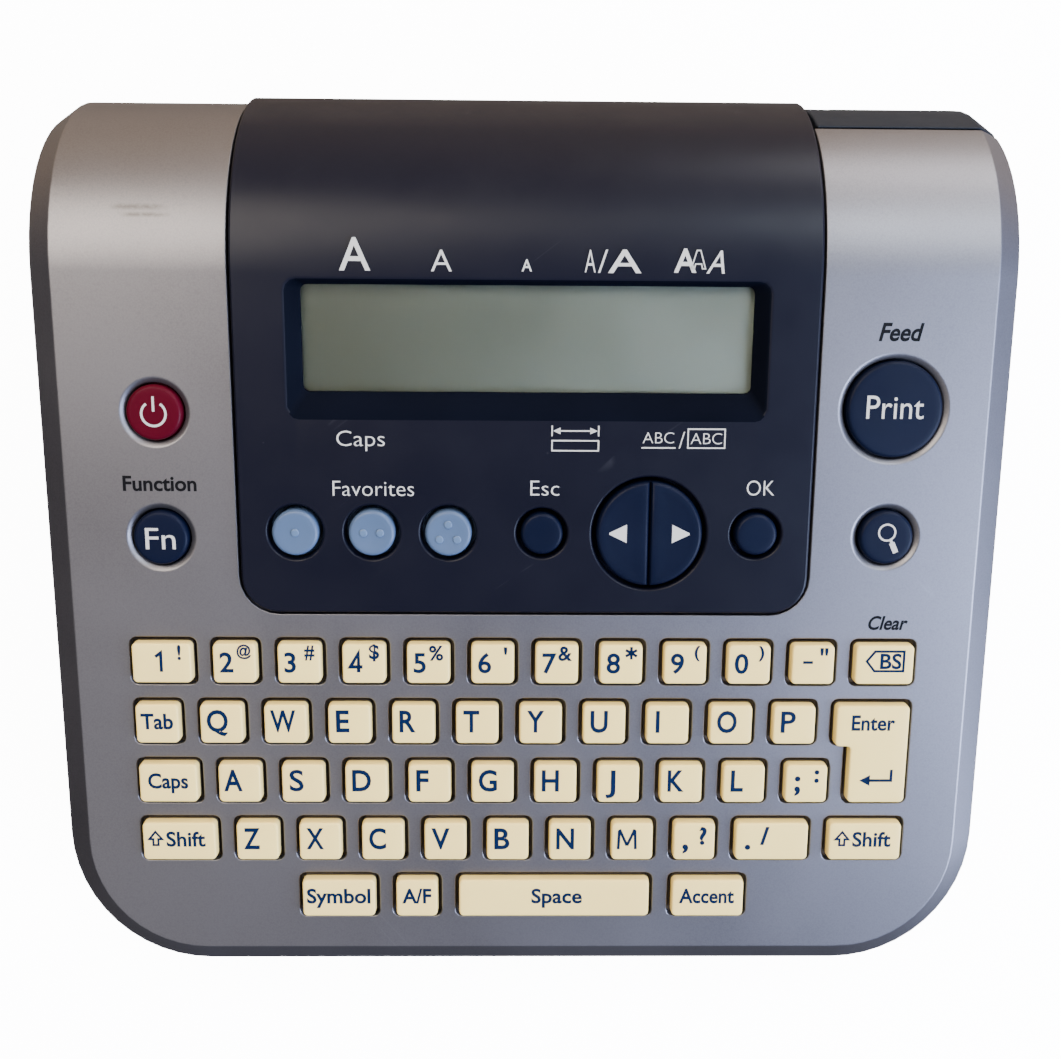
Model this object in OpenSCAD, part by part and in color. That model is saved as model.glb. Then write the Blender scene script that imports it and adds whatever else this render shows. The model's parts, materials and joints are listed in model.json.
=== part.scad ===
/* [Body] */
// Overall width, left to right
body_w = 175; // [172:1:178]
// Overall depth, front to back
body_d = 168; // [166:1:170]
// Slope of the keyboard deck, in degrees
deck_angle = 14; // [13.5:0.5:14.5]
// Height of the deck's front edge above the table
deck_front_z = 35.6; // [35:0.2:37]
// Radius of the rear hump
hump_r = 32; // [31:0.5:33]
// Radius of the front corners in plan
corner_r = 26; // [22:1:28]
// Width of the bevel along the sides
side_bevel = 4.5; // [4:0.5:5]
// Width of the bevel along the front
front_bevel = 3.2; // [2.8:0.2:3.6]
// Wall thickness of the mouldings
skin = 2; // [1.8:0.1:2.2]
// Height of the joint between the housing and the base tray
parting_z = 14; // [13:0.5:15]
/* [Keyboard] */
// Distance between key centres across a row
key_pitch = 11.9; // [11.8:0.1:12]
// Distance between rows, along the deck
row_pitch = 11.8; // [11.7:0.1:11.9]
// Width of a letter key's cap
key_w = 8; // [7.8:0.1:8.2]
// Length of a key's cap, front to back
key_l = 7.7; // [7.5:0.1:7.9]
// Clear gap round a key's cap
key_gap = 0.7; // [0.6:0.05:0.8]
// Height of the caps above the deck
key_rise = 1.6; // [1.2:0.1:2]
// Travel of a key
key_travel = 1.2; // [0.8:0.1:1.2]
// Half the width of the whole key field
field_half = 72.4; // [72:0.1:73]
/* [Panel] */
// Width of the raised centre panel
panel_w = 103.4; // [103:0.1:104]
// Front edge of the panel, measured up the deck
panel_s = 68; // [67.6:0.1:68.4]
// Height of the panel above the deck
panel_rise = 1.2; // [1:0.1:1.5]
// Gap round the panel
panel_gap = 0.6; // [0.5:0.1:0.8]
// Corner radius of the panel
panel_r = 6.5; // [6:0.5:7]
// Travel of the round buttons
button_travel = 1; // [0.6:0.1:1]
/* [Mechanism] */
// Platen roller radius
platen_r = 5; // [4.8:0.1:5.1]
// Bore clearance on a running shaft
run_gap = 0.05; // [0.04:0.01:0.08]
/* [Power] */
// Bore radius of the mains adapter socket
dc_bore_r = 2.85; // [2.75:0.05:2.9]
// Depth of the adapter socket
dc_bore_l = 9; // [8:0.5:9.5]

/* [Hidden] */

silver = "silver";
navy = [0.14, 0.16, 0.22];
cream = [0.93, 0.88, 0.76];
black = [0.08, 0.08, 0.09];
steel = [0.72, 0.73, 0.75];
half_w = body_w / 2;
half_d = body_d / 2;
front_y = -half_d + front_bevel;
bevel_drop = 3;
foot_h = 1.5;
floor_top = foot_h + skin;

// The hump is an arc, tangent to the deck, that ends upright at the back
hump_y = half_d - hump_r;
tangent_y = hump_y - hump_r * sin(deck_angle);
tangent_z = deck_front_z + (tangent_y - front_y) * tan(deck_angle);
hump_z = tangent_z - hump_r * cos(deck_angle);
function arc_points(cy, cz, r, a0, a1, n) =
    [for (i = [0:n]) let (a = a0 + (a1 - a0) * i / n) [cy + r * cos(a), cz + r * sin(a)]];

// Side outline of the body, lowered everywhere by a distance d, from the front to the angle end
function top_line(d, end = 0, n = 16) = concat(
    [[-half_d - 1, deck_front_z - d / cos(deck_angle) - (half_d + 1 + front_y) * tan(deck_angle)]],
    arc_points(hump_y, hump_z, hump_r - d, 90 + deck_angle, end, n));
function side_outline(d, z0) = concat(top_line(d), [[hump_y + hump_r - d, z0], [-half_d - 1, z0]]);

module along_x(x0, x1) {
    translate([x0, 0, 0]) rotate([90, 0, 90]) linear_extrude(x1 - x0) children();
}
module along_y(y0, y1) {
    translate([0, y1, 0]) rotate([90, 0, 0]) linear_extrude(y1 - y0) children();
}
module block(x0, x1, y0, y1, z0, z1) {
    translate([x0, y0, z0]) cube([x1 - x0, y1 - y0, z1 - z0]);
}
module rod_y(x, z, r, y0, y1) {
    translate([x, y1, z]) rotate([90, 0, 0]) cylinder(h = y1 - y0, r = r, $fn = 40);
}
module rod_x(y, z, r, x0, x1) {
    translate([x0, y, z]) rotate([0, 90, 0]) cylinder(h = x1 - x0, r = r, $fn = 40);
}
// Places things on the deck: x to the right, s up the slope from its front edge, h out of its surface
module on_deck(x = 0, s = 0, h = 0) {
    translate([0, front_y, deck_front_z]) rotate([deck_angle, 0, 0]) translate([x, s, h]) children();
}

// Rounded rectangle as a plain polygon, centred
function rounded(w, l, r, n = 3) = [for (c = [0:3], i = [0:n])
    let (a = 90 * c + 90 * i / n, sx = (c == 0 || c == 3) ? 1 : -1, sy = c < 2 ? 1 : -1)
    [sx * (w / 2 - r) + r * cos(a), sy * (l / 2 - r) + r * sin(a)]];

// Plan outline: round front corners, bevelled back corners
function plan(hw, y0, y1, r, n = 12) = concat([[hw, y1 - bevel_drop], [hw - side_bevel, y1],
    [-hw + side_bevel, y1], [-hw, y1 - bevel_drop]], front_corners(hw, y0, r, n));
function box_plan(hw, y0, y1, r, n = 12) = concat([[hw, y1], [-hw, y1]], front_corners(hw, y0, r, n));
function front_corners(hw, y0, r, n) = concat(
    arc_points(-hw + r, y0 + r, r, 180, 270, n), arc_points(hw - r, y0 + r, r, 270, 360, n));

// The whole body as one convex solid, drawn in by a distance d on every side
module body_solid(d, z0) {
    hull() {
        intersection() {
            along_x(-half_w, half_w) polygon(side_outline(d, z0));
            linear_extrude(100) polygon(box_plan(half_w - side_bevel - d * 0.7, front_y + d * 0.7,
                half_d - d, corner_r - side_bevel));
        }
        intersection() {
            along_x(-half_w, half_w) polygon(side_outline(d + bevel_drop, z0));
            linear_extrude(100) polygon(box_plan(half_w - d, -half_d + d, half_d, corner_r));
        }
    }
}

// Keys: each row is a list of [centre, width], the wide keys fill the row out to the field's edge
row_s0 = 11.1;
function row_s(row) = row_s0 + row * row_pitch;
spacing = key_pitch - key_w;
function span(x0, x1) = [(x0 + x1) / 2, x1 - x0];
function letters(first, count) = [for (i = [0:count - 1]) [first + i * key_pitch, key_w]];
function filled_left(first) = span(-field_half, first - key_w / 2 - spacing);
number_x = -4.5 * key_pitch;
top_x = number_x - 2.9;
bottom_x = number_x + 2.9;
wide_x = bottom_x + 7 * key_pitch + key_w / 2 + spacing;
wide_w = (field_half - wide_x - spacing) / 2;
number_row = concat([filled_left(number_x)], letters(number_x, 10));
top_row = letters(top_x, 10);
home_row = letters(number_x, 10);
bottom_row = concat(letters(bottom_x, 8), [span(wide_x, wide_x + wide_w)]);
backspace = span(-filled_left(number_x)[0] - filled_left(number_x)[1] / 2, field_half);
enter_top = span(top_x + 9 * key_pitch + key_w / 2 + spacing, field_half);
enter_low = backspace;
right_shift = span(field_half - wide_w, field_half);
symbol = span(-42.5, -28.5);
format = [-20.5, key_w];
space = span(-12.4, 24.3);
accent = span(28.7, 42.6);
key_rows = [
    concat([symbol, format, space, accent]),
    concat([filled_left(bottom_x)], bottom_row, [right_shift]),
    concat([filled_left(number_x)], home_row),
    concat([filled_left(top_x)], top_row),
    concat(number_row, [backspace])];
enter_s = [row_s(2) - key_l / 2, row_s(3) + key_l / 2];

// Round buttons: [centre x, centre s, cap radius]
power = [-66.1, 104.4, 4.95];
function_key = [-66.1, 81.7, 4.95];
print_key = [65.9, 105.7, 8.65];
magnifier = [65.9, 82.3, 4.95];
favourites = [for (i = [0:2]) [-41.6 + 13.8 * i, 83, 4.2]];
escape = [2.9, 83, 3.8];
rocker = [22.4, 83, 9.6];
ok = [41.8, 83, 3.8];
housing_buttons = [power, function_key, print_key, magnifier];
panel_buttons = concat(favourites, [escape, rocker, ok]);
button_gap = 0.35;
panel_button_gap = 0.8;
dish_w = 1.1;

key_floor = -3.2;
button_floor = -4.5;
flange_t = 0.9;
flange_lip = 1;
mat_top = key_floor - key_travel - 0.3;
button_top = 0.7;
button_flange = -3.2;
panel_button_floor = button_floor - 0.2;
panel_button_top = panel_rise + 0.7;
button_mat_top = panel_button_floor - button_travel - 0.1;
panel_flange = -3.4;
panel_flange_top = -2.05;

// LCD opening: the recess narrows from the panel's face down to the glass
lcd_x = 0.2;
lcd_s = 115.6;
lcd_recess = [85, 24.4];
lcd_glass = [79.2, 18];
glass_s = 117.8;
glass_h = -1.2;
pocket = [84, 23];

// Rear door and cutter lever openings
door_x = [-72, 50];
door_z = [4.2, 45.8];
door_gap = 0.4;
hinge_y = half_d - 3;
hinge_z = 7.2;
hinge_r = 1.2;
lever_x = 52.2;
lever_y = 73.4;
lever_z = 40;
lever_axis = [57, 47];
lever_skin = 1.9;
screw_spots = [for (x = [-79.5, 79.5], y = [-48, 0, 46]) [x, y]];
dc_y = 34;
dc_z = 22;
slot_z = 29.2;
tape_y = [58, 72];

module top_housing() {
    color(silver) difference() {
        body_solid(0, parting_z);
        body_solid(skin, parting_z - 1);
        for (r = [0:4], k = key_rows[r])
            key_hole(k, row_s(r), key_l);
        key_hole(enter_top, row_s(3), key_l);
        key_hole(enter_low, (enter_s[0] + enter_s[1]) / 2, enter_s[1] - enter_s[0]);
        for (b = housing_buttons) {
            on_deck(b[0], b[1], -5) cylinder(h = 10, r = b[2] + button_gap, $fn = 64);
            on_deck(b[0], b[1], -0.6)
                cylinder(h = 0.7, r1 = b[2] + button_gap, r2 = b[2] + button_gap + dish_w, $fn = 64);
        }
        panel_opening();
        block(door_x[0] - door_gap, door_x[1] + door_gap, half_d - 8, half_d + 1, 0, door_z[1] + door_gap);
        block(lever_x, half_w + 1, lever_y, half_d + 1, lever_z, 80);
        block(half_w - 6, half_w + 1, tape_y[0], tape_y[1], slot_z - 1, slot_z + 1);
        translate([-half_w - 1, dc_y, dc_z]) rotate([0, 90, 0]) cylinder(h = 6, r = 4.2, $fn = 48);
    }
    color(silver) for (p = screw_spots) screw_boss(p[0], p[1], parting_z + 0.02, 28, 1.3);
}
module key_hole(k, s, l) {
    on_deck(k[0], s, -6) linear_extrude(12) polygon(rounded(k[1] + 2 * key_gap, l + 2 * key_gap, 1.3));
}
module panel_opening() {
    hw = panel_w / 2 + panel_gap;
    on_deck(0, panel_s - panel_gap + 30, -8) linear_extrude(16) polygon(rounded(2 * hw, 60, panel_r + panel_gap, 6));
    along_x(-hw, hw) polygon(panel_band(8, -8, 110, 24.5));
}
// Band between two depths below the deck line, from a distance up the deck round to an angle
function panel_band(d0, d1, s0, end) = concat(
    [deck_point(s0, -d0)], arc_points(hump_y, hump_z, hump_r - d0, 90 + deck_angle, end, 14),
    arc_points(hump_y, hump_z, hump_r - d1, end, 90 + deck_angle, 14), [deck_point(s0, -d1)]);
function deck_point(s, h) = [front_y + s * cos(deck_angle) - h * sin(deck_angle),
    deck_front_z + s * sin(deck_angle) + h * cos(deck_angle)];
module screw_boss(x, y, z0, z1, bore) {
    difference() {
        union() {
            translate([x, y, z0]) cylinder(h = z1 - z0, r = 3, $fn = 40);
            wall_x = x > 0 ? x : -half_w + skin - 0.2;
            block(wall_x, wall_x + half_w - skin + 0.2 - abs(x), y - 0.8, y + 0.8, z0, z1);
        }
        translate([x, y, z0 - 1]) cylinder(h = z1 - z0 + 2, r = bore, $fn = 40);
    }
}

module base_tray() {
    inset = 0.6;
    outline = plan(half_w - inset, -half_d + inset, half_d - inset, corner_r - inset);
    wall = inset + skin;
    inner = plan(half_w - wall, -half_d + wall, half_d - wall, corner_r - wall);
    color(black) difference() {
        union() {
            difference() {
                translate([0, 0, foot_h]) linear_extrude(parting_z - foot_h) polygon(outline);
                translate([0, 0, floor_top]) linear_extrude(parting_z) polygon(inner);
            }
            for (p = screw_spots) screw_boss(p[0], p[1], floor_top - 0.5, parting_z, 1.6);
            for (x = door_x) {
                side = x < 0 ? -1 : 1;
                block(min(x + side * door_gap, x + side * 3), max(x + side * door_gap, x + side * 3),
                    hinge_y - 4, half_d - inset - skin + 0.2, floor_top - 0.2, 12);
            }
        }
        block(door_x[0] - door_gap, door_x[1] + door_gap, half_d - 8, half_d + 1, door_z[0] - door_gap, 20);
        rod_x(hinge_y, hinge_z, hinge_r + run_gap, door_x[0] - 5, door_x[1] + 5);
        for (p = screw_spots) {
            translate([p[0], p[1], 0]) cylinder(h = 20, r = 1.6, $fn = 40);
            translate([p[0], p[1], 0]) cylinder(h = 4.4, r = 2.8, $fn = 40);
        }
        for (p = foot_spots) translate([p[0], p[1], 0]) cylinder(h = foot_h + 0.8, r = 5.2, $fn = 48);
    }
}
foot_spots = [for (x = [-68, 68], y = [-64, 60]) [x, y]];
module rubber_feet() {
    color(black) for (p = foot_spots) translate([p[0], p[1], 0]) cylinder(h = foot_h + 0.8, r = 5, $fn = 48);
}
module housing_screws() {
    color(steel) for (p = screw_spots) translate([p[0], p[1], 0]) {
        difference() {
            translate([0, 0, 2.8]) cylinder(h = 1.6, r = 2.4, $fn = 40);
            translate([0, 0, 2.7]) cylinder(h = 0.9, r = 1.1, $fn = 6);
        }
        translate([0, 0, 4.4]) cylinder(h = 18, r = 1.25, $fn = 40);
    }
}

module centre_panel() {
    hw = panel_w / 2;
    color(navy) difference() {
        union() {
            intersection() {
                along_x(-hw, hw) polygon(panel_band(2.6, -panel_rise, 20, 26));
                union() {
                    on_deck(0, panel_s + 30, -20) linear_extrude(60) polygon(rounded(2 * hw, 60, panel_r, 8));
                    block(-hw, hw, 0, half_d + 5, 0, 90);
                }
            }
            along_x(-hw - 3.5, hw + 3.5) polygon(panel_band(-panel_flange, -panel_flange_top, panel_s - 4, 30));
        }
        hull() {
            on_deck(lcd_x, lcd_s, panel_rise) linear_extrude(0.1)
                polygon(rounded(lcd_recess[0], lcd_recess[1], 2));
            on_deck(lcd_x, glass_s, glass_h - 0.1) linear_extrude(0.1)
                polygon(rounded(lcd_glass[0], lcd_glass[1], 1));
        }
        on_deck(lcd_x, glass_s, -8) linear_extrude(8 + glass_h) polygon(rounded(pocket[0], pocket[1], 1));
        for (b = panel_buttons)
            on_deck(b[0], b[1], -8) cylinder(h = 16, r = b[2] + panel_button_gap, $fn = 64);
    }
}
module lcd_window() {
    color([0.5, 0.55, 0.5, 0.6]) on_deck(lcd_x, glass_s, glass_h - 1) linear_extrude(0.95)
        polygon(rounded(pocket[0] - 0.6, pocket[1] - 0.6, 1));
}
module lcd_module() {
    color([0.55, 0.6, 0.5]) on_deck(lcd_x, glass_s, -6) linear_extrude(6 + glass_h - 1.1)
        polygon(rounded(pocket[0] - 1, pocket[1] - 1, 0.8));
}
module display_board() {
    color("darkgreen") on_deck(0, 0, -8.8) difference() {
        linear_extrude(1.6) translate([0, 101]) square([152, 66], center = true);
        for (x = [-72, 72], s = [72, 130]) translate([x, s, -1]) cylinder(h = 4, r = 1.6, $fn = 32);
    }
}
module main_board() {
    color("darkgreen") on_deck(0, 0, -8.2) difference() {
        linear_extrude(1.6) translate([0, 35]) square([150, 60], center = true);
        for (x = [-71, 71], s = [17, 52]) translate([x, s - (s > 20 ? 0 : 8), -1])
            cylinder(h = 4, r = 1.6, $fn = 32);
    }
}
module key_mat() {
    color([0.75, 0.76, 0.78]) union() {
        on_deck(0, 35, -6.55) linear_extrude(1.1) square([148, 58], center = true);
        for (r = [0:4], k = key_rows[r]) mat_dome(k[0], row_s(r), 2.6);
        mat_dome(enter_low[0], (enter_s[0] + enter_s[1]) / 2, 2.6);
    }
}
module mat_dome(x, s, r) {
    on_deck(x, s, -5.6) cylinder(h = 5.6 + mat_top, r = r, $fn = 8);
}
module button_mat() {
    color([0.75, 0.76, 0.78]) union() {
        on_deck(0, 0, -7.15) linear_extrude(0.9) polygon([[-75, 72], [75, 72], [75, 118], [56, 118],
            [56, 93], [-56, 93], [-56, 118], [-75, 118]]);
        for (b = concat(housing_buttons, panel_buttons))
            on_deck(b[0], b[1], -6.4) cylinder(h = 6.4 + button_mat_top, r = 3, $fn = 8);
    }
}

module rear_cover() {
    color(silver) difference() {
        union() {
            intersection() {
                along_x(door_x[0], door_x[1]) polygon(concat(
                    arc_points(hump_y, hump_z, hump_r, 40, 0, 10), [[half_d, 0]],
                    [[half_d - skin, 0]], arc_points(hump_y, hump_z, hump_r - skin, 0, 40, 10)));
                union() {
                    block(door_x[0], door_x[1], 60, half_d + 1, hinge_z, door_z[1]);
                    rod_x(hinge_y, hinge_z, half_d - hinge_y, door_x[0], door_x[1]);
                }
            }
            for (x = [door_x[0], door_x[1] - 5])
                block(x, x + 5, hinge_y - 2, half_d - skin + 0.1, hinge_z - 2, hinge_z + 2);
            rod_x(hinge_y, hinge_z, hinge_r, door_x[0] - 2, door_x[0] + 0.1);
            rod_x(hinge_y, hinge_z, hinge_r, door_x[1] - 0.1, door_x[1] + 2);
        }
        for (i = [-3:3]) block(-20, -2, half_d - 0.5, half_d + 1, 36 + i * 1.6, 36.8 + i * 1.6);
    }
}

module dc_socket() {
    color(black) difference() {
        union() {
            block(-half_w + skin + 0.1, -half_w + skin + 12, dc_y - 6, dc_y + 6, dc_z - 6, dc_z + 6);
            translate([-half_w + 0.4, dc_y, dc_z]) rotate([0, 90, 0]) cylinder(h = 3, r = 4.1, $fn = 48);
        }
        translate([-half_w, dc_y, dc_z]) rotate([0, 90, 0])
            cylinder(h = dc_bore_l + 0.4, r = dc_bore_r, $fn = 48);
    }
}
cell_r = 5.25;
cell_l = 44.5;
cell_x = -66;
module battery_cells() {
    color("goldenrod") for (i = [0:2], j = [0:1])
        translate([cell_x, 63 + j * 10.8, 10 + i * 10.8]) rotate([0, 90, 0]) {
            cylinder(h = cell_l - 1, r = cell_r, $fn = 48);
            translate([0, 0, cell_l - 1.1]) cylinder(h = 1.1, r = 1.9, $fn = 32);
        }
}
module battery_contacts() {
    color(steel) {
        for (i = [0:2], j = [0:1]) translate([cell_x - 2.6, 63 + j * 10.8, 10 + i * 10.8])
            rotate([0, 90, 0]) cylinder(h = 2.5, r = 2.6, $fn = 32);
        for (j = [0:1]) {
            block(cell_x - 3.1, cell_x - 2.6, 59 + j * 10.8, 67 + j * 10.8, floor_top, 36);
            block(cell_x + cell_l + 0.1, cell_x + cell_l + 0.6, 59 + j * 10.8, 67 + j * 10.8, floor_top, 36);
        }
    }
}
cassette_x = [-16, 50];
module tape_cassette() {
    color([0.25, 0.26, 0.3]) difference() {
        union() {
            block(cassette_x[0], cassette_x[1], 57.2, 74, 5, 43);
            along_y(56.6, 57.3) translate([18, 24]) polygon(rounded(44, 28, 6));
        }
        rod_y(ribbon[0], ribbon[1], 4, 50, 68);
        rod_y(2, 24, 5, 66, 80);
        block(cassette_x[1] - 4, cassette_x[1] + 1, tape_y[0], tape_y[1], slot_z - 2, slot_z + 4);
    }
}

// Gear train, with every axis along Y: 12 on the motor, 36 and 12 on the reduction gear, 30 on the
// platen, 24 on the ribbon spindle
gear_module = 0.5;
shaft_r = 1.5;
mesh_gap = 0.05;
motor_teeth = 12;
big_teeth = 36;
small_teeth = 12;
platen_teeth = 30;
ribbon_teeth = 24;
platen = [64, 24];
function gear_centres(a, b) = gear_module * (a + b) / 2 + mesh_gap;
reduction = [platen[0] - gear_centres(small_teeth, platen_teeth), platen[1]];
pinion = [reduction[0] - gear_centres(motor_teeth, big_teeth), platen[1]];
ribbon_c = gear_centres(small_teeth, ribbon_teeth);
ribbon = [reduction[0] + ribbon_c * cos(150), reduction[1] + ribbon_c * sin(150)];
head_pivot = [54, 38];
plate_y = [54, 55.6];
function gear_points(n, turn) = let (p = gear_module * n / 2, h = 90 / n) [for (i = [0:n - 1],
    q = [[p - 1.2 * gear_module, -1.3], [p - 0.1 * gear_module, -0.88], [p + 0.85 * gear_module, -0.4],
        [p + 0.85 * gear_module, 0.4], [p - 0.1 * gear_module, 0.88], [p - 1.2 * gear_module, 1.3]])
    let (a = 360 * i / n + turn + q[1] * h) [q[0] * cos(a), q[0] * sin(a)]];
module gear(at, n, turn, y0, y1, bore) {
    difference() {
        along_y(y0, y1) translate(at) polygon(gear_points(n, turn));
        rod_y(at[0], at[1], bore, y0 - 1, y1 + 1);
    }
}
module mechanism_frame() {
    color(steel) {
        difference() {
            union() {
                block(-20, 74, plate_y[0], plate_y[1], floor_top + 0.1, 46);
                block(-20, 74, plate_y[0] - 8, plate_y[1], floor_top + 0.1, floor_top + 1.7);
                rod_y(platen[0], platen[1], 3.4, plate_y[1] - 0.1, plate_y[1] + 1);
            }
            rod_y(platen[0], platen[1], shaft_r + run_gap, 40, 60);
            rod_y(ribbon[0], ribbon[1], shaft_r + run_gap, 40, 60);
        }
        rod_y(reduction[0], reduction[1], shaft_r, 44.4, plate_y[0] + 0.1);
        rod_y(head_pivot[0], head_pivot[1], shaft_r, plate_y[1] - 0.1, 74);
    }
}
module motor_bracket() {
    color(steel) difference() {
        union() {
            block(pinion[0] - 12, pinion[0] + 12, 42, 43.4, floor_top + 0.1, 36);
            block(pinion[0] - 12, pinion[0] + 12, 30, 43.4, floor_top + 0.1, floor_top + 1.5);
        }
        rod_y(pinion[0], pinion[1], 3.3, 40, 46);
    }
}
module feed_motor() {
    color([0.6, 0.61, 0.63]) {
        rod_y(pinion[0], pinion[1], 10, 20, 41.95);
        rod_y(pinion[0], pinion[1], 3.2, 41.9, 43.6);
        rod_y(pinion[0], pinion[1], 2.2, 18.5, 20.1);
    }
}
module motor_pinion() {
    color("gold") {
        gear(pinion, motor_teeth, 0, 44.6, 47.6, 0.8);
        rod_y(pinion[0], pinion[1], 0.8, 43.7, 47.6);
    }
}
module reduction_gear() {
    color("white") {
        gear(reduction, big_teeth, 5, 45, 47.4, shaft_r + run_gap);
        gear(reduction, small_teeth, 0, 47.4, 52.6, shaft_r + run_gap);
    }
}
module platen_shaft() { color(steel) rod_y(platen[0], platen[1], shaft_r, 48, 74.5); }
module platen_gear() { color("white") gear(platen, platen_teeth, 6, 48.4, 52.2, shaft_r); }
module platen_roller() {
    color([0.2, 0.2, 0.21]) difference() {
        rod_y(platen[0], platen[1], platen_r, 57.2, 73);
        rod_y(platen[0], platen[1], shaft_r, 56, 75);
    }
}
module ribbon_spindle() {
    color("white") {
        difference() {
            along_y(48.4, 52.2) translate(ribbon) polygon(gear_points(ribbon_teeth, 7.5));
            rod_y(ribbon[0], ribbon[1], shaft_r - 0.3, 48, 53);
        }
        rod_y(ribbon[0], ribbon[1], shaft_r, 48.4, 58);
        difference() {
            rod_y(ribbon[0], ribbon[1], 3.4, 57.4, 66);
            for (i = [0:5]) translate([ribbon[0], 0, ribbon[1]]) rotate([0, i * 60, 0])
                block(2.7, 4, 57, 67, -0.5, 0.5);
        }
    }
}
module print_head() {
    color([0.85, 0.85, 0.82]) union() {
        block(60.5, 67.5, 58.2, 71.8, platen[1] + platen_r + 1, 33);
        block(63.5, 64.5, 58.6, 71.4, platen[1] + platen_r + 0.4, platen[1] + platen_r + 1.1);
    }
}
module head_arm() {
    color(steel) difference() {
        union() {
            block(head_pivot[0], 69, 58.2, 71.8, 33.05, 35);
            rod_y(head_pivot[0], head_pivot[1], 3.2, 58.2, 71.8);
            block(head_pivot[0] - 1, head_pivot[0] + 3, 58.2, 71.8, 33.05, 37);
        }
        rod_y(head_pivot[0], head_pivot[1], shaft_r + run_gap, 50, 80);
    }
}
module cutter_lever() {
    color(navy) difference() {
        union() {
            intersection() {
                difference() {
                    body_solid(0, 20);
                    body_solid(lever_skin, 10);
                }
                block(lever_x + 0.7, half_w + 1, lever_y + 0.4, half_d + 1, 44.6, 80);
            }
            block(lever_axis[0], 84, 66, 80.6, 45.4, 48.4);
            rod_y(lever_axis[0], lever_axis[1], 3, 66, 78);
            block(79.6, 80.4, 62, 66.1, 43.5, 48);
        }
        rod_y(lever_axis[0], lever_axis[1], shaft_r + run_gap, 50, 90);
    }
}
module lever_pin() { color(steel) rod_y(lever_axis[0], lever_axis[1], shaft_r, 60, 79); }
module cutter_blade() {
    color(steel) block(79.5, 80.5, 58.2, 71.8, 31.5, 43.2);
}
module cutter_guide() {
    color(black) difference() {
        union() {
            block(77, 83, 56, 74, floor_top + 0.1, 39.5);
            block(54, 60, 60, 64, 41.5, 50);
            block(57.6, 78, 60, 62, 38.6, 42.4);
            block(77, 79, 60, 62, 36, 41.6);
        }
        block(79.35, 80.65, 57.9, 72.1, floor_top + 1.5, 60);
        block(70, 90, 57.9, 72.1, slot_z - 1.5, slot_z + 1.5);
        rod_y(lever_axis[0], lever_axis[1], shaft_r + 0.01, 50, 80);
    }
}

module key(k, s, l = key_l) {
    on_deck(k[0], s, key_floor) {
        linear_extrude(key_rise - key_floor) polygon(rounded(k[1], l, 1.1));
        linear_extrude(flange_t) polygon(rounded(k[1] + 2 * flange_lip, l + 2 * flange_lip, 1.2));
    }
}
module key_group(keys, row) {
    color(cream) for (k = keys) union() key(k, row_s(row));
}
module enter_key() {
    color(cream) union() {
        key(enter_top, row_s(3));
        key(enter_low, (enter_s[0] + enter_s[1]) / 2, enter_s[1] - enter_s[0]);
    }
}
module housing_button(b, shade) {
    color(shade) on_deck(b[0], b[1], 0) {
        translate([0, 0, button_floor]) cylinder(h = button_top - button_floor, r = b[2], $fn = 64);
        translate([0, 0, button_flange]) cylinder(h = flange_t, r = b[2] + 1.2, $fn = 64);
    }
}
module panel_button(b, shade) {
    color(shade) on_deck(b[0], b[1], 0) {
        translate([0, 0, panel_button_floor])
            cylinder(h = panel_button_top - panel_button_floor, r = b[2], $fn = 64);
        translate([0, 0, panel_button_floor]) cylinder(h = flange_t, r = b[2] + 1.5, $fn = 64);
    }
}

base_tray();
rubber_feet();
top_housing();
centre_panel();
lcd_window();
lcd_module();
display_board();
main_board();
key_mat();
button_mat();
rear_cover();
housing_screws();
dc_socket();
battery_cells();
battery_contacts();
tape_cassette();
mechanism_frame();
motor_bracket();
feed_motor();
motor_pinion();
reduction_gear();
platen_shaft();
platen_roller();
platen_gear();
ribbon_spindle();
print_head();
head_arm();
cutter_lever();
lever_pin();
cutter_blade();
cutter_guide();
housing_button(power, [0.8, 0.15, 0.1]);  // power_button
housing_button(function_key, navy);  // function_button
housing_button(print_key, navy);  // print_button
housing_button(magnifier, navy);  // magnifier_button
panel_button(favourites[0], [0.6, 0.7, 0.82]);  // favourite_button_1
panel_button(favourites[1], [0.6, 0.7, 0.82]);  // favourite_button_2
panel_button(favourites[2], [0.6, 0.7, 0.82]);  // favourite_button_3
panel_button(escape, navy);  // escape_button
panel_button(rocker, navy);  // cursor_rocker
panel_button(ok, navy);  // ok_button
key_group(number_row, 4);  // number_keys
key_group(top_row, 3);  // top_letter_keys
key_group(home_row, 2);  // home_letter_keys
key_group(bottom_row, 1);  // bottom_letter_keys
key_group([backspace], 4);  // backspace_key
key_group([filled_left(top_x)], 3);  // tab_key
enter_key();
key_group([filled_left(number_x)], 2);  // caps_key
key_group([filled_left(bottom_x)], 1);  // left_shift_key
key_group([right_shift], 1);  // right_shift_key
key_group([symbol], 0);  // symbol_key
key_group([format], 0);  // format_key
key_group([space], 0);  // space_key
key_group([accent], 0);  // accent_key
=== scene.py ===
"""Looks of a desktop label printer: silver body, navy display panel, cream keys and round buttons.

Lengths are millimetres, and MM turns them into metres; only the lights and the floor are in metres.
Most pieces are drawn in the deck's own frame: x to the right, s up the sloped deck from its front
edge, h out of the deck's surface.
"""
import json
import math

import bmesh
import bpy
from mathutils import Matrix, Vector
from mathutils.bvhtree import BVHTree


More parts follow.
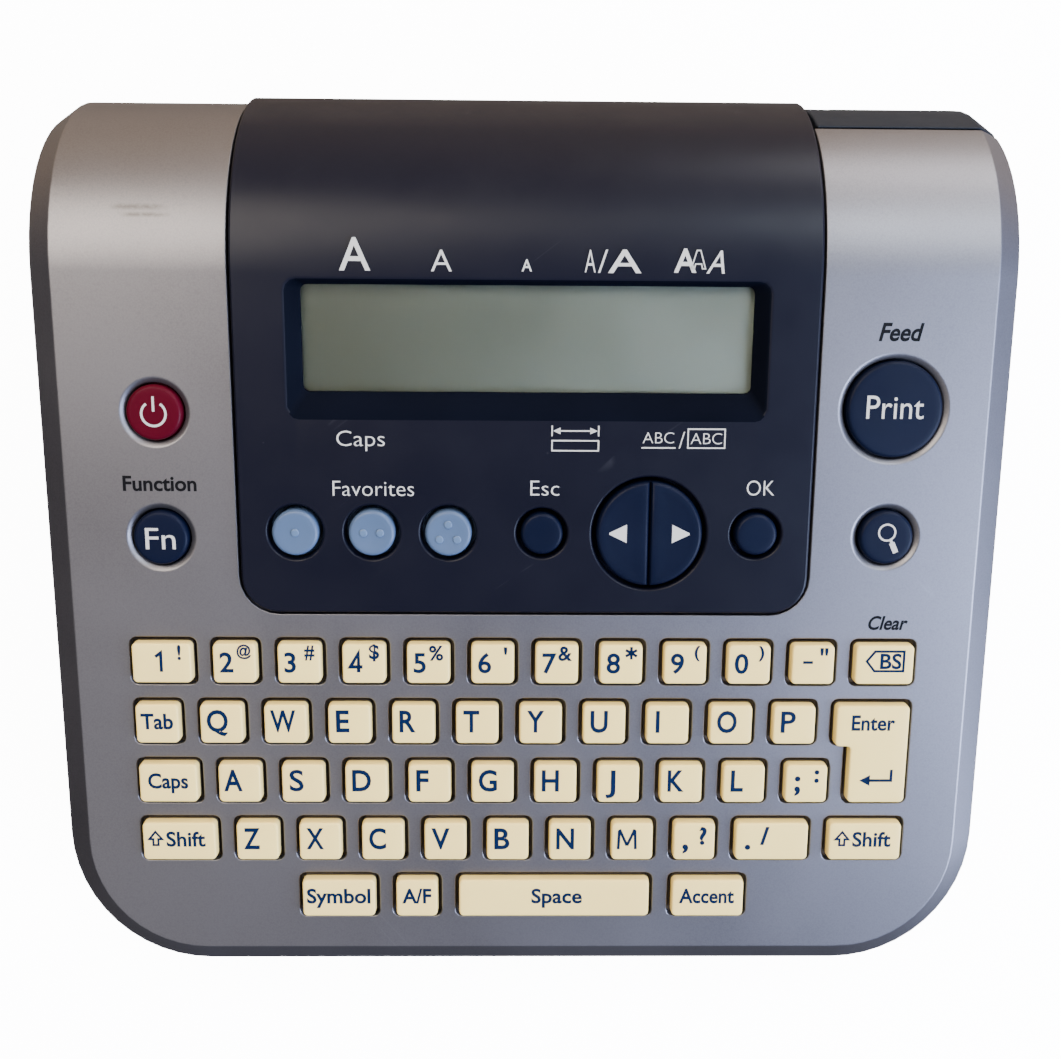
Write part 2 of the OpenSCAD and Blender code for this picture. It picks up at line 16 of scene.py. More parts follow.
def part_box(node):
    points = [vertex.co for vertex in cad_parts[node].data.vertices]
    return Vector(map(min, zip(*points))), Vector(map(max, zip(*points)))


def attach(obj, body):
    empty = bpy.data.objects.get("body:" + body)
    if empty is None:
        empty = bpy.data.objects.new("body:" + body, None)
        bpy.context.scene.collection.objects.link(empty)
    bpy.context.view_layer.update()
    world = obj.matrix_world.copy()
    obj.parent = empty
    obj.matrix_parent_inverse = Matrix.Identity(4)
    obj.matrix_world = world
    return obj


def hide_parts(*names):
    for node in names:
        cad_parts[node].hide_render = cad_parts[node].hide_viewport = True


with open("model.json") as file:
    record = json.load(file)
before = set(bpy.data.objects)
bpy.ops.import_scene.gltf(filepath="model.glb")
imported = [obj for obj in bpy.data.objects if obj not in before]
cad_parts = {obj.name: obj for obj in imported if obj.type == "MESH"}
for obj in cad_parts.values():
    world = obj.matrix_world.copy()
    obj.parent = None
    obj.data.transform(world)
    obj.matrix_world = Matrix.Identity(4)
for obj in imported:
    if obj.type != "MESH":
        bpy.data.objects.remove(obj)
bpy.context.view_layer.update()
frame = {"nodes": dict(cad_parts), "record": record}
NODES = frame["nodes"]
BODY_OF = {n: b for b, names in frame["record"]["behaviour"]["bodies"].items() for n in names}

MM = 0.001
# The keyboard deck, as in the CAD: its slope, its front edge, and how far panel and keys stand out of it
DECK_ANGLE = math.radians(14)
DECK_FRONT_Y = -80.8
DECK_FRONT_Z = 35.6
PANEL_RISE = 1.2
KEY_RISE = 1.6

DECK = (
    Matrix.Translation(Vector((0, DECK_FRONT_Y, DECK_FRONT_Z)) * MM)
    @ Matrix.Rotation(DECK_ANGLE, 4, "X")
    @ Matrix.Scale(MM, 4)
)
TO_DECK = DECK.inverted()


# ---------------------------------------------------------------- camera, light and floor

CAMERA_AT = Vector((-2.5, -8.9, 274.0)) * MM
CAMERA_TILT = math.radians(2.38)
CAMERA_YAW = math.radians(-0.89)
CAMERA_ROLL = math.radians(0.25)
CAMERA_LENS = 40.7
SENSOR_WIDTH = 36.0


def add_object(name, data):
    """A new object in the scene."""
    added = bpy.data.objects.new(name, data)
    bpy.context.collection.objects.link(added)
    return added


def make_camera():
    """Camera about 20 cm above the hump, looking almost straight down."""
    data = bpy.data.cameras.new("camera")
    data.lens = CAMERA_LENS
    data.sensor_width = SENSOR_WIDTH
    data.clip_start = 0.01
    camera = add_object("camera", data)
    camera.matrix_world = (
        Matrix.Translation(CAMERA_AT)
        @ Matrix.Rotation(CAMERA_TILT, 4, "X")
        @ Matrix.Rotation(CAMERA_YAW, 4, "Y")
        @ Matrix.Rotation(CAMERA_ROLL, 4, "Z")
    )
    bpy.context.scene.camera = camera


# Softboxes, in metres and watts: name, place, aimed at, width and height, power, colour
LIGHTS = [
    ("right_window", (0.86, -0.48, 0.62), (0, 0, 0.04), (0.5, 0.9), 34.0, (0.57, 0.69, 1.0)),
    ("rear_right", (0.62, 0.98, 0.62), (0, 0, 0.04), (0.7, 0.4), 9.0, (0.95, 0.97, 1.0)),
    ("high_right", (0.48, 0.36, 0.98), (0, 0.02, 0.04), (0.5, 0.4), 7.5, (0.84, 0.93, 1.0)),
    ("front", (-0.5, -0.80, 0.90), (0, 0, 0.04), (0.6, 0.4), 1.2, (1.0, 0.96, 0.90)),
    ("high_left", (-0.42, 0.28, 1.05), (0, 0.02, 0.04), (0.8, 0.55), 15.0, (1.0, 0.90, 0.76)),
]
ROOM_STRENGTH = 1.6
ROOM_LEFT = (0.035, 0.036, 0.058)
ROOM_MIDDLE = (0.255, 0.25, 0.265)
ROOM_RIGHT = (0.34, 0.43, 0.76)
ROOM_BEHIND = (0.92, 0.68, 0.45)


def make_area(name, at, look_at, size, power, colour):
    """One rectangular softbox aimed at a point."""
    data = bpy.data.lights.new(name, "AREA")
    data.shape = "RECTANGLE"
    data.size, data.size_y = size
    data.energy = power
    data.color = colour
    light = add_object(name, data)
    light.location = Vector(at)
    light.rotation_euler = (Vector(look_at) - Vector(at)).to_track_quat("-Z", "Y").to_euler()


def make_light():
    """Cool softboxes on the right, warm ones on the left, in a room dark on its left and warm behind."""
    for light in LIGHTS:
        make_area(*light)
    world = bpy.data.worlds.new("room")
    bpy.context.scene.world = world
    world.use_nodes = True
    add = node_adder(world.node_tree)
    place = add("TexCoord")
    split = add("SeparateXYZ", {0: place.outputs["Generated"]})
    left = remap(add, split.outputs["X"], -0.5, 0.3)
    right = remap(add, split.outputs["X"], 0.1, 0.7)
    middle = mix_colour(add, left, ROOM_LEFT, ROOM_MIDDLE)
    side = mix_colour(add, right, middle, ROOM_RIGHT)
    behind = remap(add, split.outputs["Y"], 0.3, 0.9, 0.0, 0.9)
    sky = mix_colour(add, behind, side, ROOM_BEHIND)
    background = world.node_tree.nodes["Background"]
    background.inputs["Strength"].default_value = ROOM_STRENGTH
    add.link(sky, background.inputs["Color"])


FLOOR_HALF = 25.0
FLOOR_WHITE = (0.93, 0.93, 0.93)
FLOOR_GLOW = 12.0
TABLE_NEAR = (0.03, 0.025, 0.022)
TABLE_RIGHT = (0.40, 0.37, 0.35)
TABLE_BEHIND = (0.46, 0.34, 0.22)


def make_floor():
    """White floor that glows to the camera only; reflections see a table, lighter right and behind."""
    mesh = bpy.data.meshes.new("floor")
    a = FLOOR_HALF
    mesh.from_pydata([(-a, -a, 0), (a, -a, 0), (a, a, 0), (-a, a, 0)], [], [(0, 1, 2, 3)])
    floor = add_object("floor", mesh)
    material, add, put = new_material("floor_white")
    ray = add("LightPath")
    place = add("SeparateXYZ", {0: add("TexCoord").outputs["Object"]})
    behind = remap(add, place.outputs["Y"], 0.08, 0.30)
    right = remap(add, place.outputs["X"], 0.10, 0.35, 0.0, 0.5)
    side = mix_colour(add, right, TABLE_NEAR, TABLE_RIGHT)
    table = mix_colour(add, behind, side, TABLE_BEHIND)
    base = mix_colour(add, ray.outputs["Is Glossy Ray"], FLOOR_WHITE, table)
    put("Base Color", base)
    put("Roughness", 1.0)
    put("Emission Color", (1, 1, 1, 1))
    glow = remap(add, ray.outputs["Is Camera Ray"], 0.0, 1.0, 0.0, FLOOR_GLOW)
    put("Emission Strength", glow)
    mesh.materials.append(material)


# ---------------------------------------------------------------- materials


def node_adder(tree):
    """Function that adds a shader node, links or sets its inputs and sets its options."""
    def add(kind, inputs=None, **settings):
        node = tree.nodes.new("ShaderNode" + kind)
        for key, value in settings.items():
            setattr(node, key, value)
        for key, value in (inputs or {}).items():
            if isinstance(value, bpy.types.NodeSocket):
                tree.links.new(value, node.inputs[key])
            else:
                node.inputs[key].default_value = value
        return node

    add.link = tree.links.new
    return add


def new_material(name):
    """A node material, its node adder, and a function that links or sets its shader's inputs."""
    material = bpy.data.materials.new(name)
    material.use_nodes = True
    tree = material.node_tree
    shader = tree.nodes["Principled BSDF"]

    def put(socket, value):
        if isinstance(value, bpy.types.NodeSocket):
            tree.links.new(value, shader.inputs[socket])
        else:
            shader.inputs[socket].default_value = value

    return material, node_adder(tree), put


def position_mm(add):
    """Object position in millimetres."""
    place = add("TexCoord").outputs["Object"]
    return add("VectorMath", {0: place, "Scale": 1 / MM}, operation="SCALE").outputs[0]


def noise_at(add, position, scale, detail):
    """Noise whose features are about 1/scale millimetres across."""
    return add("TexNoise", {"Vector": position, "Scale": scale, "Detail": detail}).outputs["Fac"]


def combine(add, operation, a, b=0.0):
    """Result of a math node."""
    return add("Math", {0: a, 1: b}, operation=operation).outputs[0]


def remap(add, value, low, high, to_low=0.0, to_high=1.0):
    """A value carried from one range to another, and clamped to it."""
    return add("MapRange", {"Value": value, "From Min": low, "From Max": high,
                            "To Min": to_low, "To Max": to_high}).outputs[0]


def mix_colour(add, factor, a, b):
    """Blend from colour a at 0 to colour b at 1; either can be a socket."""
    a, b = [c if isinstance(c, bpy.types.NodeSocket) else (*c, 1) for c in (a, b)]
    return add("Mix", {0: factor, 6: a, 7: b}, data_type="RGBA").outputs[2]


def bump(add, put, height, strength, distance):
    """Fine relief of a surface, its depth in millimetres."""
    node = add("Bump", {"Height": height, "Strength": strength, "Distance": distance * MM})
    put("Normal", node.outputs[0])


def scratches(add, position, spacing, tilt, width):
    """Thin straight hairlines that come and go: 1 on a scratch, 0 elsewhere."""
    turned = add("Mapping", {"Vector": position, "Rotation": (0, 0, tilt), "Scale": (1, 60, 20)},
                 vector_type="TEXTURE")
    wobble = noise_at(add, turned.outputs[0], 1 / spacing, 0.0)
    away = combine(add, "ABSOLUTE", combine(add, "SUBTRACT", wobble, 0.5))
    line = remap(add, away, 0.0, width, 1.0, 0.0)
    shown = remap(add, noise_at(add, position, 0.12, 1.0), 0.60, 0.68)
    return combine(add, "MULTIPLY", line, shown)


def plastic(name, colour, roughness=0.45, variation=0.06, grain=6.0, grain_depth=0.01, gloss=0.5):
    """Moulded plastic: slow colour drift, fine grain, and roughness that varies with handling."""
    material, add, put = new_material(name)
    position = position_mm(add)
    drift = noise_at(add, position, 0.05, 3.0)
    dark = tuple(c * (1 - variation) for c in colour)
    light = tuple(min(1, c * (1 + variation)) for c in colour)
    fade = remap(add, drift, 0.35, 0.65)
    put("Base Color", mix_colour(add, fade, dark, light))
    handling = noise_at(add, position, 0.11, 4.0)
    put("Roughness", remap(add, handling, 0.3, 0.7, roughness - 0.05, roughness + 0.06))
    fine = noise_at(add, position, grain, 2.0)
    bump(add, put, fine, 0.5, grain_depth)
    put("Specular IOR Level", gloss)
    return material


def scuff(add, position, left, right, y, width):
    """A soft rubbed streak along x: 1 in its middle, fading to 0 at its ends and sides."""
    split = add("SeparateXYZ", {0: position})
    start = remap(add, split.outputs["X"], left, left + 2.0)
    end = remap(add, split.outputs["X"], right - 3.0, right, 1.0, 0.0)
    away = combine(add, "SUBTRACT", split.outputs["Y"], y)
    off = remap(add, combine(add, "ABSOLUTE", away), 0.0, width, 1.0, 0.0)
    broken = remap(add, noise_at(add, position, 1.2, 3.0), 0.3, 0.55, 0.4, 1.0)
    ends = combine(add, "MULTIPLY", start, end)
    streak = combine(add, "MULTIPLY", ends, off)
    return combine(add, "MULTIPLY", streak, broken)


FLAKE_LIGHT = (0.197, 0.190, 0.201)
FLAKE_DARK = (0.159, 0.154, 0.165)
SILVER_DRIFT = (0.190, 0.183, 0.193)
SILVER_SCRATCH = (0.4, 0.4, 0.43)
SILVER_RUBBED = (0.07, 0.065, 0.06)
# Rubbed streaks at the upper left: left end, right end, y, half width
STREAKS = [(-72.8, -62.0, 55.4, 0.75), (-71.0, -61.5, 54.0, 0.6)]


def silver_paint():
    """Metallic flake paint on plastic, with hairline scratches and two rubbed streaks."""
    material, add, put = new_material("silver_paint")
    position = position_mm(add)
    flake = add("TexVoronoi", {"Vector": position, "Scale": 3.2})
    flake_tone = remap(add, flake.outputs["Distance"], 0.0, 0.9)
    drift = noise_at(add, position, 0.03, 3.0)
    base = mix_colour(add, flake_tone, FLAKE_LIGHT, FLAKE_DARK)
    drifted = remap(add, drift, 0.3, 0.7, 0.0, 0.5)
    tone = mix_colour(add, drifted, base, SILVER_DRIFT)
    worn = scratches(add, position, 5.0, 0.7, 0.006)
    scratched = mix_colour(add, remap(add, worn, 0.0, 1.0, 0.0, 0.08), tone, SILVER_SCRATCH)
    rubbed = combine(add, "MAXIMUM", *[scuff(add, position, *streak) for streak in STREAKS])
    shown = remap(add, rubbed, 0.0, 1.0, 0.0, 0.7)
    put("Base Color", mix_colour(add, shown, scratched, SILVER_RUBBED))
    put("Metallic", 0.96)
    put("Roughness", remap(add, drift, 0.3, 0.7, 0.40, 0.47))
    fine = noise_at(add, position, 5.0, 2.0)
    bump(add, put, fine, 0.35, 0.012)
    return material


NAVY_DARK = (0.0028, 0.0031, 0.0078)
NAVY_LIGHT = (0.0041, 0.0044, 0.0098)
NAVY_WORN = (0.22, 0.22, 0.24)


def navy_gloss():
    """Dark navy plastic with a soft gloss, hairline scratches and a few specks of dust."""
    material, add, put = new_material("navy_gloss")
    position = position_mm(add)
    drift = noise_at(add, position, 0.04, 2.0)
    base = mix_colour(add, drift, NAVY_DARK, NAVY_LIGHT)
    specks = add("TexVoronoi", {"Vector": position, "Scale": 0.16})
    dust = remap(add, specks.outputs["Distance"], 0.02, 0.035, 1.0, 0.0)
    hairlines = scratches(add, position, 6.0, -0.9, 0.002)
    worn = combine(add, "MAXIMUM", hairlines, dust)
    shown = remap(add, worn, 0.0, 1.0, 0.0, 0.04)
    put("Base Color", mix_colour(add, shown, base, NAVY_WORN))
    haze = noise_at(add, position, 0.09, 4.0)
    put("Roughness", remap(add, haze, 0.3, 0.7, 0.30, 0.38))
    bump(add, put, noise_at(add, position, 3.0, 2.0), 0.25, 0.006)
    put("Specular IOR Level", 0.16)
    return material


def metal(name, colour, roughness=0.35, brushed=(1, 1, 0.05)):
    """Bare metal with brush lines along one direction."""
    material, add, put = new_material(name)
    position = position_mm(add)
    stretched = add("Mapping", {"Vector": position, "Scale": brushed})
    lines = noise_at(add, stretched.outputs[0], 8.0, 3.0)
    put("Base Color", mix_colour(add, lines, tuple(c * 0.85 for c in colour), colour))
    put("Metallic", 1.0)
    put("Roughness", remap(add, lines, 0.3, 0.7, roughness - 0.08, roughness + 0.08))
    bump(add, put, lines, 0.3, 0.004)
    return material


def printed(name, colour):
    """Pad-printed ink: flat, slightly uneven at a fine scale."""
    material, add, put = new_material(name)
    uneven = noise_at(add, position_mm(add), 4.0, 2.0)
    put("Base Color", mix_colour(add, uneven, tuple(c * 0.85 for c in colour), colour))
    put("Roughness", 0.6)
    put("Specular IOR Level", 0.08)
    return material


# Painted light on the display: shade to the left, light to the right, where the window light falls
LCD_PAINTED_SHADE_LEFT = (0.047, 0.044, 0.027)
LCD_PAINTED_LIGHT_RIGHT = (0.160, 0.172, 0.148)
LCD_CLOUD = (0.066, 0.068, 0.052)
LCD_GRID = (0.05, 0.06, 0.05)


def lcd_glass():
    """Reflective display: grey-green, with painted shade darker and warmer to the left and painted light
    to the right, and a faint pixel grid.
    """
    material, add, put = new_material("lcd_glass")
    position = position_mm(add)
    split = add("SeparateXYZ", {0: position})
    # Painted light: the screen goes from the painted shade on the left to the painted light on the right
    across = remap(add, split.outputs["X"], -40.0, 40.0)
    base = mix_colour(add, across, LCD_PAINTED_SHADE_LEFT, LCD_PAINTED_LIGHT_RIGHT)
    cloud = noise_at(add, position, 0.045, 1.5)
    clouded = remap(add, cloud, 0.35, 0.65, 0.0, 0.5)
    tone = mix_colour(add, clouded, base, LCD_CLOUD)
    cells = add("TexBrick", {"Vector": position, "Scale": 2.0, "Mortar Size": 0.02, "Brick Width": 1.0,
                             "Row Height": 1.0}, offset=0.0)
    shown = remap(add, cells.outputs["Fac"], 0, 1, 0.0, 0.08)
    put("Base Color", mix_colour(add, shown, tone, LCD_GRID))
    put("Roughness", 0.35)
    return material


def clear_window():
    """Thin clear acrylic."""
    material, add, put = new_material("clear_window")
    smear = noise_at(add, position_mm(add), 0.06, 4.0)
    put("Roughness", remap(add, smear, 0.3, 0.7, 0.05, 0.14))
    put("Base Color", (0.9, 0.93, 0.9, 1))
    put("Transmission Weight", 1.0)
    put("IOR", 1.1)
    return material


def circuit_board():
    """Green solder mask with a hint of copper tracks under it."""
    material, add, put = new_material("circuit_board")
    position = position_mm(add)
    tracks = add("TexBrick", {"Vector": position, "Scale": 0.35, "Mortar Size": 0.05})
    put("Base Color", mix_colour(add, tracks.outputs["Fac"], (0.02, 0.12, 0.05), (0.05, 0.22, 0.08)))
    put("Roughness", 0.35)
    return material


def battery_jacket():
    """Printed cell jacket: copper-coloured end band, black body."""
    material, add, put = new_material("battery_jacket")
    position = position_mm(add)
    split = add("SeparateXYZ", {0: position})
    band = remap(add, split.outputs["X"], -35.2, -35.0)
    put("Base Color", mix_colour(add, band, (0.02, 0.02, 0.022), (0.62, 0.34, 0.10)))
    put("Metallic", 0.4)
    put("Roughness", remap(add, noise_at(add, position, 0.3, 2.0), 0.3, 0.7, 0.22, 0.34))
    return material


# ---------------------------------------------------------------- mesh helpers

INK_DEPTH = 0.04
CAP_HEIGHT = 0.682  # a capital's height in the built-in typeface, as a share of its size
MIN_RADIUS = 0.05
SHARP_ANGLE = math.radians(35)


def link_mesh(name, mesh, body, materials):
    """Makes an object of a mesh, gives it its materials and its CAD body."""
    piece = add_object(name, mesh)
    for material in materials:
        mesh.materials.append(material)
    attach(piece, body)
    return piece


def mesh_from(name, shapes, matrix=DECK):
    """One mesh of several (points, faces) shapes, given in the deck's frame or another matrix."""
    points, faces = [], []
    for some_points, some_faces in shapes:
        start = len(points)
        points += [matrix @ Vector(p) for p in some_points]
        faces += [[start + i for i in f] for f in some_faces]
    mesh = bpy.data.meshes.new(name)
    mesh.from_pydata(points, [], faces)
    mesh.validate()
    return mesh


def smooth(mesh):
    """Soft shading, but for edges sharper than an angle."""
    mesh.shade_smooth()
    mesh.set_sharp_from_angle(angle=SHARP_ANGLE)


def rectilinear(corners, radii, steps=5):
    """Outline function of a shape with square corners: the outline drawn in by a distance d.

    corners go round anticlockwise; a corner that turns inwards has its radius grow as d grows.
    """
    count = len(corners)

    def outline(d):
        points = []
        for i, (x, y) in enumerate(corners):
            before, after = corners[i - 1], corners[(i + 1) % count]
            into = Vector((x - before[0], y - before[1])).normalized()
            out = Vector((after[0] - x, after[1] - y)).normalized()
            turn = into.x * out.y - into.y * out.x
            inward = Vector((-into.y, into.x)) + Vector((-out.y, out.x))
            corner = Vector((x, y)) + inward * d
            r = max(MIN_RADIUS, radii[i] - d) if turn > 0 else radii[i] + d
            centre = corner + (out - into) * r
            edge = corner - into * r - centre
            start = math.atan2(edge.y, edge.x)
            for k in range(steps + 1):
                a = start + math.copysign(math.pi / 2, turn) * k / steps
                points.append((centre.x + r * math.cos(a), centre.y + r * math.sin(a)))
        return points

    return outline


def box_outline(x0, x1, y0, y1, r):
    """Outline function of a rectangle with rounded corners."""
    return rectilinear([(x0, y0), (x1, y0), (x1, y1), (x0, y1)], [r] * 4)


def circle_outline(x, y, r, steps=72):
    """Outline function of a circle."""
    def outline(d):
        angles = [2 * math.pi * k / steps for k in range(steps)]
        return [(x + (r - d) * math.cos(a), y + (r - d) * math.sin(a)) for a in angles]

    return outline


def half_disc_outline(x, y, r, side, gap, steps=40):
    """Half a disc on one side of a gap; side is 1 for right and -1 for left."""
    def outline(d):
        radius = r - d
        edge = gap / 2 + d
        limit = math.acos(edge / radius)
        angles = [-limit + 2 * limit * k / steps for k in range(steps + 1)]
        return [(x + side * radius * math.cos(a), y + side * radius * math.sin(a)) for a in angles]

    return outline


def raised(outline, profile):
    """Closed solid from rings of one outline: profile is a list of (drawn in by, height)."""
    points, faces = [], []
    count = len(outline(0))
    for d, h in profile:
        points += [(x, y, h) for x, y in outline(d)]
    for ring in range(len(profile) - 1):
        a, b = ring * count, (ring + 1) * count
        faces += [(a + i, a + (i + 1) % count, b + (i + 1) % count, b + i) for i in range(count)]
    faces.append(list(range(count))[::-1])
    last = (len(profile) - 1) * count
    faces.append([last + i for i in range(count)])
    return points, faces


def rounded_edge(top, radius, steps=4):
    """Profile of a quarter-round edge that ends level at the top."""
    return [(radius * (1 - math.cos(a)), top - radius * (1 - math.sin(a)))
            for a in [math.pi / 2 * k / steps for k in range(steps + 1)]]


def flat(outline_points, top, depth=INK_DEPTH):
    """Thin plate of one outline."""
    count = len(outline_points)
    points = [(x, y, top - depth) for x, y in outline_points] + [(x, y, top) for x, y in outline_points]
    faces = [list(range(count))[::-1], [count + i for i in range(count)]]
    faces += [(i, (i + 1) % count, count + (i + 1) % count, count + i) for i in range(count)]
    return points, faces


def stroke(path, width, top, closed=False):
    """Thin line of a given width along a path, mitred at its corners."""
    count = len(path)
    left, right = [], []
    for i, p in enumerate(path):
        here = Vector(p)
        before = Vector(path[i - 1]) if i or closed else here - (Vector(path[1]) - here)
        after = Vector(path[(i + 1) % count]) if i < count - 1 or closed else here + (here - before)
        into, out = (here - before).normalized(), (after - here).normalized()
        along = (into + out).normalized()
        reach = width / 2 / max(0.35, along.dot(out))
        normal = Vector((-along.y, along.x)) * reach
        left.append(here + normal)
        right.append(here - normal)
    points, faces = [], []
    for h in (top - INK_DEPTH, top):
        points += [(p.x, p.y, h) for p in left] + [(p.x, p.y, h) for p in right]
    spans = count if closed else count - 1
    upper = 2 * count
    for i in range(spans):
        j = (i + 1) % count
        faces.append((upper + i, upper + count + i, upper + count + j, upper + j))
        faces.append((j, count + j, count + i, i))
        faces.append((i, upper + i, upper + j, j))
        faces.append((count + j, upper + count + j, upper + count + i, count + i))
    if not closed:
        faces.append((0, count, upper + count, upper))
        faces.append((count - 1, upper + count - 1, upper + 2 * count - 1, 2 * count - 1))
    return points, faces


def arc_path(x, y, r, start, end, steps=28):
    """Points along an arc between two angles in degrees."""
    angles = [math.radians(start + (end - start) * k / steps) for k in range(steps + 1)]
    return [(x + r * math.cos(a), y + r * math.sin(a)) for a in angles]


def lettering(words, x, y, height, top, width=None, align=0.0, slant=0.0, weight=0.12):
    """Flat lettering. height is a capital's height and y the middle of it; width is the whole width.

    align says where x is on the word: -1 its left end, 0 its middle, 1 its right end. weight makes
    the strokes thicker or thinner.
    """
    curve = bpy.data.curves.new("lettering", "FONT")
    curve.body = words
    curve.size = height / CAP_HEIGHT
    curve.shear = slant
    curve.offset = weight
    curve.resolution_u = 4
    holder = add_object("lettering", curve)
    bpy.context.view_layer.update()
    evaluated = holder.evaluated_get(bpy.context.evaluated_depsgraph_get())
    flat_mesh = bpy.data.meshes.new_from_object(evaluated)
    bpy.data.objects.remove(holder)
    built = bmesh.new()
    built.from_mesh(flat_mesh)
    bpy.data.meshes.remove(flat_mesh)
    bmesh.ops.remove_doubles(built, verts=built.verts, dist=1e-5)
    made = bmesh.ops.extrude_face_region(built, geom=built.faces[:])
    moved = [v for v in made["geom"] if isinstance(v, bmesh.types.BMVert)]
    bmesh.ops.translate(built, verts=moved, vec=(0, 0, INK_DEPTH))
    bmesh.ops.recalc_face_normals(built, faces=built.faces)
    left = min(v.co.x for v in built.verts)
    right = max(v.co.x for v in built.verts)
    stretch = width / (right - left) if width else 1.0
    anchor = left + (right - left) * (align + 1) / 2
    points = [((v.co.x - anchor) * stretch + x, v.co.y - height / 2 + y, v.co.z - INK_DEPTH + top)
              for v in built.verts]
    faces = [[v.index for v in f.verts] for f in built.faces]
    built.free()
    return points, faces


# ---------------------------------------------------------------- keys

KEY_CORNER = 0.95
KEY_STEP_CORNER = 0.6
KEY_EDGE = 0.38
KEY_SKIRT = -3.2
KEY_FLANGE = -2.3
KEY_LIP = 1.0
KEY_CROWN = 0.08
KEY_DRAFT = 0.06
KEY_TOP_ABOVE = 1.0  # points of a key higher than this belong to its cap
LEGEND_LIFT = 0.02
LEGEND_SHIFT = 0.5


def limits(points):
    """Limits of points in the deck's plane: x0, x1, s0, s1."""
    xs, ss = [p.x for p in points], [p.y for p in points]
    return min(xs), max(xs), min(ss), max(ss)


def caps_of(node):
    """Cap rectangles (x0, x1, s0, s1) of each separate solid in a key node, from left to right."""
    built = bmesh.new()
    built.from_mesh(NODES[node].data)
    bmesh.ops.remove_doubles(built, verts=built.verts, dist=1e-6)
    left = set(built.verts)
    found = []
    while left:
        island, todo = set(), [left.pop()]
        while todo:
            v = todo.pop()
            island.add(v)
            for e in v.link_edges:
                w = e.other_vert(v)
                if w in left:
                    left.remove(w)
                    todo.append(w)
        local = [TO_DECK @ v.co for v in island]
        found.append(limits([p for p in local if p.z > KEY_TOP_ABOVE]))
    built.free()
    return sorted(found)


def key_shape(outline):
    """Cap with a rounded top edge, a slight crown, and its retaining flange."""
    edge = rounded_edge(KEY_RISE - KEY_CROWN, KEY_EDGE, 5)
    profile = [(-KEY_LIP, KEY_SKIRT), (-KEY_LIP, KEY_FLANGE), (0, KEY_FLANGE), (0, -0.5), (0, 0.2)]
    profile += [(d + KEY_DRAFT, h) for d, h in edge]
    profile += [(1.3, KEY_RISE - KEY_CROWN * 0.45), (2.2, KEY_RISE - KEY_CROWN * 0.12), (3.2, KEY_RISE)]
    return raised(outline, profile)


def paint_shade_on_skirt(mesh):
    """Gives the second material, a dark brown painted shade, to the skirt and flange, the parts below
    the deck.
    """
    for face in mesh.polygons:
        if (TO_DECK @ face.center).z < -0.3:
            face.material_index = 1


def print_on(name, shapes, node, ink):
    """Printed marks as one thin piece that rides with a CAD node."""
    link_mesh(name, mesh_from(name, shapes), BODY_OF[node], [ink])


def make_caps(name, node, shapes, looks):
    """Cream caps that stand for one CAD node, their skirts darkened with painted shade."""
    mesh = mesh_from(name, shapes)
    smooth(mesh)
    paint_shade_on_skirt(mesh)
    materials = [looks["cream"], looks["skirt"]]
    piece = link_mesh(name, mesh, BODY_OF[node], materials)
    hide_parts(node)


def make_keys(node, marks, looks):
    """Caps of one CAD node, and the legends on them. marks has one function a cap."""
    caps = caps_of(node)
    shapes = [key_shape(box_outline(x0, x1, s0, s1, KEY_CORNER)) for x0, x1, s0, s1 in caps]
    make_caps(node + "_caps", node, shapes, looks)
    legends = []
    for (x0, x1, s0, s1), mark in zip(caps, marks):
        legends += mark((x0 + x1) / 2, (s0 + s1) / 2 + LEGEND_SHIFT)
    print_on(node + "_legends", legends, node, looks["key_ink"])


TOP_INK = KEY_RISE + LEGEND_LIFT
HALF_KEY = 4.0
LETTER_H = 4.05
DIGIT_H = 3.65
UPPER_H = 2.65
WORD_H = 2.85
LETTER_MARGIN = 1.85
NUMBER_MARGIN = 1.3
STEM = 0.54
# Width of each capital as a share of its height; M is drawn by letter_m
LETTER_SHAPE = {
    "A": 0.86, "B": 0.72, "C": 0.80, "D": 0.88, "E": 0.61, "F": 0.58, "G": 0.86, "H": 0.80, "I": 0.18,
    "J": 0.46, "K": 0.76, "L": 0.58, "N": 0.84, "O": 0.92, "P": 0.68, "Q": 0.97, "R": 0.74,
    "S": 0.66, "T": 0.74, "U": 0.80, "V": 0.86, "W": 1.16, "X": 0.82, "Y": 0.80, "Z": 0.76,
}


# A legend is a function that takes the middle of a cap and returns its printed shapes. Those below
# either are one, with x and s as their only values, or make one.


def letter(character):
    """Legend of a letter key: a capital near the key's left edge, wide ones closer to it."""
    shape = LETTER_SHAPE[character]
    margin = LETTER_MARGIN - 0.55 * shape
    if character == "A":
        margin -= 0.3
    weight = 0.09 if character in "JPS" else 0.13

    def mark(x, s):
        left, width = x - HALF_KEY + margin, shape * LETTER_H
        return [lettering(character, left, s + 0.1, LETTER_H, TOP_INK, width, -1, weight=weight)]

    return mark


def letter_m(x, s):
    """A capital M of four strokes, its middle reaching nearly to the line."""
    left = x - HALF_KEY + 1.1 + STEM / 2
    right = left + 3.3
    low, high = s - LETTER_H / 2, s + LETTER_H / 2
    return [stroke([(left, low), (left + 0.15, high - 0.25)], STEM, TOP_INK),
            stroke([(right, low), (right - 0.15, high - 0.25)], STEM, TOP_INK),
            stroke([(left + 0.2, high), ((left + right) / 2, low + 0.75)], STEM, TOP_INK + 0.001),
            stroke([(right - 0.2, high), ((left + right) / 2, low + 0.75)], STEM, TOP_INK + 0.001)]


def crossed_strokes(x, s, degrees, half_length, width):
    """Straight strokes that cross at one point, as one shape."""
    points, faces = [], []
    for angle in [math.radians(a) for a in degrees]:
        dx, ds = half_length * math.cos(angle), half_length * math.sin(angle)
        some_points, some_faces = stroke([(x - dx, s - ds), (x + dx, s + ds)], width, TOP_INK)
        faces += [[len(points) + i for i in f] for f in some_faces]
        points += some_points
    return points, faces


